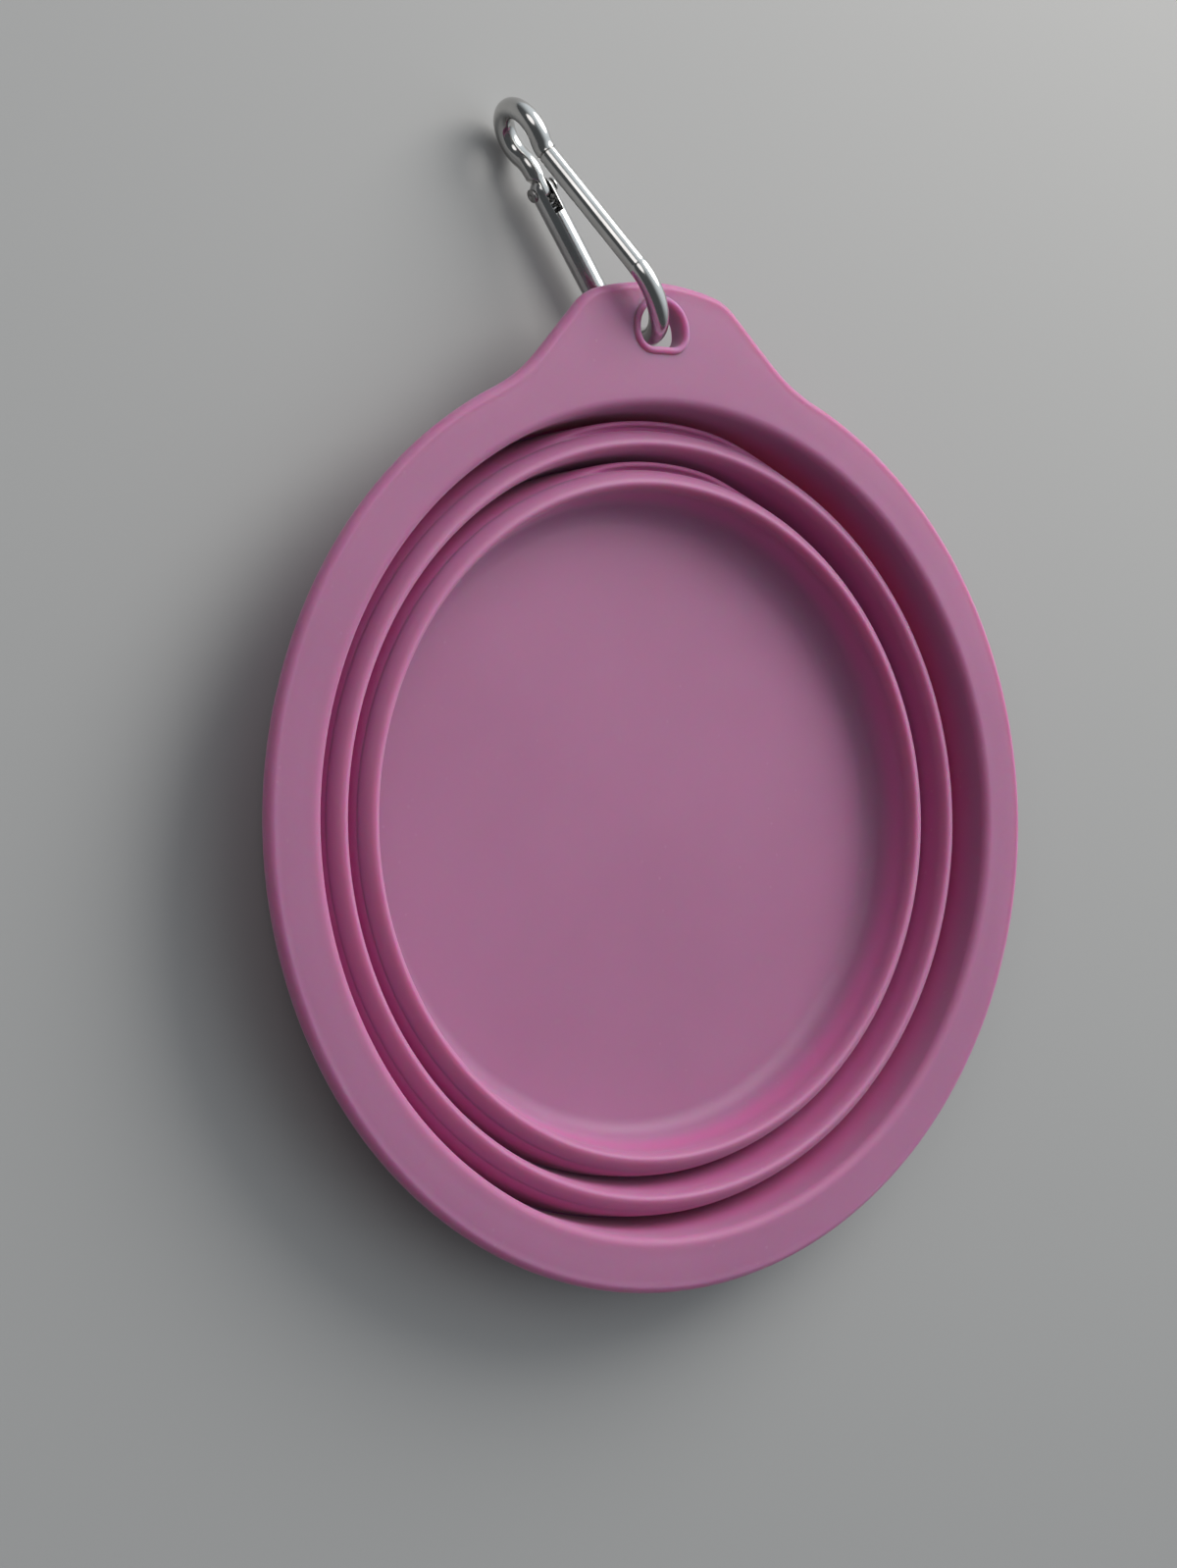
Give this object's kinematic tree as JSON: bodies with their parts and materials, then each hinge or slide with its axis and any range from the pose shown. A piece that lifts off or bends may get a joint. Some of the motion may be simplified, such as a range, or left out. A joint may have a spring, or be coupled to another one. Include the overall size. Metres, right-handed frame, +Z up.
{
  "type": "collapsible bowl",
  "caption": "Round silicone bowl that folds flat, with a hanging tab and a spring-gate carry clip through it.",
  "frame": {"origin": "centre of the flat foot, on the surface the bowl stands on", "axes": "+Z up out of the bowl, +Y from its centre to the hanging tab, +X to the right seen from above with the tab at the top"},
  "size_m": [0.13, 0.165, 0.0193],
  "materials": {
    "silicone": "matte, faintly satin",
    "silicone_thin": "matte, thin enough for light to shine through",
    "plated_wire": "polished zinc or nickel plating",
    "plated_rivet": "polished plating, small dimple on one head",
    "spring_wire": "bright drawn wire"
  },
  "bodies": {
    "base": {"base_cup": "silicone", "lower_fold": "silicone_thin"},
    "middle": {"middle_ring": "silicone", "upper_fold": "silicone_thin"},
    "rim": {"rim_ring": "silicone"},
    "clip": {"clip_frame": "plated_wire"},
    "gate": {"clip_gate": "plated_wire", "gate_rivet": "plated_rivet", "latch_pin": "plated_rivet", "gate_spring": "spring_wire"}
  },
  "joints": [
    {"name": "lower_pop", "type": "slide", "parent": "base", "child": "middle", "axis": [0, 0, 1], "range_m": [0, 0.0148], "deforming": ["lower_fold"]},
    {"name": "upper_pop", "type": "slide", "parent": "middle", "child": "rim", "axis": [0, 0, 1], "range_m": [0, 0.0177], "deforming": ["upper_fold"]},
    {"name": "clip_swing", "type": "hinge", "parent": "rim", "child": "clip", "pos_m": [-0.0034, 0.0736, 0.0108], "axis": [0.8516, 0.5047, 0.1415], "range_deg": [-70, 35]},
    {"name": "gate_open", "type": "hinge", "parent": "clip", "child": "gate", "pos_m": [-0.01109, 0.08856, 0.00369], "axis": [-0.8516, -0.5047, -0.1415], "range_deg": [0, 20], "stiffness_Nm_per_rad": 0.01, "springref_deg": -28.65, "deforming": ["gate_spring"]}
  ]
}
